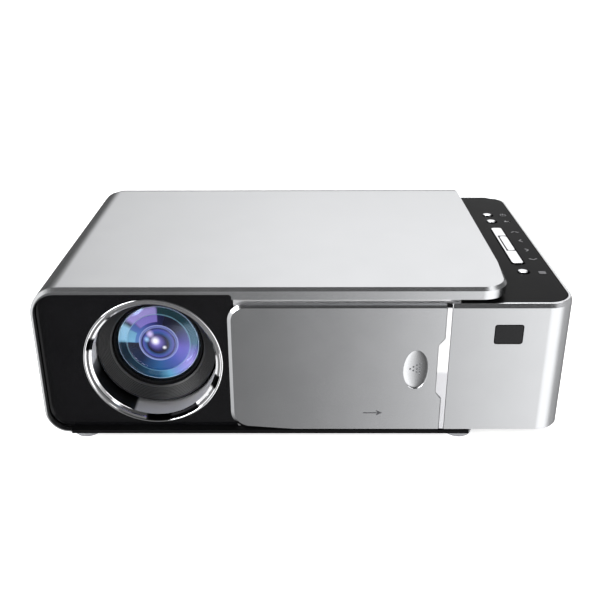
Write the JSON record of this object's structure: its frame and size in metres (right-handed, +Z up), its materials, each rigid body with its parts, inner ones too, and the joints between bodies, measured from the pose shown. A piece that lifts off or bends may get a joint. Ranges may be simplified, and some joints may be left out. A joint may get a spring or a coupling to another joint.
{
  "type": "mini projector",
  "caption": "Small box-shaped LED video projector with a lens at the left of its front, a cover that slides sideways over the lens, a floating top cover and a key panel beside it.",
  "frame": {"origin": "centre of the case's bounding box, on the plane of the four soles", "axes": "+X to the right seen from the front, +Y from the lens side to the rear, +Z up"},
  "size_m": [0.2, 0.1306, 0.0644],
  "materials": {
    "silver_shell": "satin silver paint on moulded ABS",
    "cover_silver": "satin silver paint on moulded ABS",
    "bright_silver": "bright silver lacquer",
    "chrome": "polished plating",
    "black_gloss": "smooth black",
    "black_matte": "fine matt black",
    "rubber": "grey moulded rubber",
    "coated_glass": "polished with violet and blue coating",
    "clear_glass": "polished",
    "lcd_glass": "polarising film on glass",
    "circuit_board": "green solder resist",
    "steel": "plated steel",
    "aluminium": "extruded",
    "magnet": "nickel plated"
  },
  "bodies": {
    "housing": {"top_cover": "silver_shell", "bottom_tray": "black_matte", "right_shell": "silver_shell", "rear_panel": "black_matte", "front_bezel": "black_gloss", "slide_bed": "bright_silver", "lens_ring": "chrome", "cover_sensor_board": "circuit_board", "control_panel": "black_gloss", "keypad_board": "circuit_board", "ir_window": "black_gloss", "ir_receiver_board": "circuit_board", "foot_front_left": "rubber", "foot_front_right": "rubber", "foot_rear_left": "rubber", "foot_rear_right": "rubber", "lens_mount": "black_matte", "optical_box": "black_matte", "front_fresnel": "clear_glass", "lcd_panel": "lcd_glass", "rear_fresnel": "clear_glass", "heat_glass": "clear_glass", "condenser_lens": "clear_glass", "reflector": "chrome", "led_board": "aluminium", "heat_sink": "aluminium", "fan_frame": "black_matte", "main_board": "circuit_board", "board_screw_1": "steel", "board_screw_2": "steel", "board_screw_3": "steel", "board_screw_4": "steel", "vga_socket": "steel", "hdmi_socket": "steel", "usb_socket": "steel", "av_jack": "black_matte", "dc_jack": "black_matte", "speaker": "black_matte", "case_screw_1": "steel", "case_screw_2": "steel", "case_screw_3": "steel", "case_screw_4": "steel", "case_screw_5": "steel", "case_screw_6": "steel"},
    "lens_cover": {"sliding_cover": "cover_silver", "cover_slider": "black_matte", "cover_screw_lower": "steel", "cover_screw_upper": "steel", "cover_magnet": "magnet"},
    "focus": {"focus_ring": "black_matte"},
    "lens_carriage": {"lens_barrel": "black_matte", "front_lens": "coated_glass", "rear_lens": "clear_glass"},
    "rotor": {"fan_rotor": "black_matte"},
    "power_button": {"power_key": "chrome"},
    "back_button": {"back_key": "chrome"},
    "menu_button": {"menu_key": "chrome"},
    "up_button": {"up_key": "chrome"},
    "side_rocker": {"side_rocker_key": "chrome"},
    "down_button": {"down_key": "chrome"}
  },
  "joints": [
    {"name": "cover_slide", "type": "slide", "parent": "housing", "child": "lens_cover", "axis": [-1, 0, 0], "range_m": [0, 0.0695]},
    {"name": "focus_turn", "type": "hinge", "parent": "housing", "child": "focus", "pos_m": [-0.0568, -0.05, 0.03405], "axis": [0, -1, 0], "range_deg": [-60, 60]},
    {"name": "lens_travel", "type": "slide", "parent": "housing", "child": "lens_carriage", "axis": [0, -1, 0], "range_m": [-0.0015, 0.0015]},
    {"name": "fan_spin", "type": "hinge", "parent": "housing", "child": "rotor", "pos_m": [-0.0568, 0.056, 0.03405], "axis": [0, 1, 0], "continuous": true},
    {"name": "power_press", "type": "slide", "parent": "housing", "child": "power_button", "axis": [0, 0, -1], "range_m": [0, 0.0005], "stiffness_N_per_m": 300},
    {"name": "back_press", "type": "slide", "parent": "housing", "child": "back_button", "axis": [0, 0, -1], "range_m": [0, 0.0005], "stiffness_N_per_m": 300},
    {"name": "menu_press", "type": "slide", "parent": "housing", "child": "menu_button", "axis": [0, 0, -1], "range_m": [0, 0.0005], "stiffness_N_per_m": 300},
    {"name": "up_press", "type": "slide", "parent": "housing", "child": "up_button", "axis": [0, 0, -1], "range_m": [0, 0.0005], "stiffness_N_per_m": 300},
    {"name": "down_press", "type": "slide", "parent": "housing", "child": "down_button", "axis": [0, 0, -1], "range_m": [0, 0.0005], "stiffness_N_per_m": 300},
    {"name": "side_rock", "type": "hinge", "parent": "housing", "child": "side_rocker", "pos_m": [0.087, -0.00325, 0.055], "axis": [1, 0, 0], "range_deg": [-3, 3], "stiffness_Nm_per_rad": 0.02}
  ],
  "couplings": [
    {"joint": "focus_turn", "follows": "lens_travel", "rad_per_m": 698.13}
  ]
}
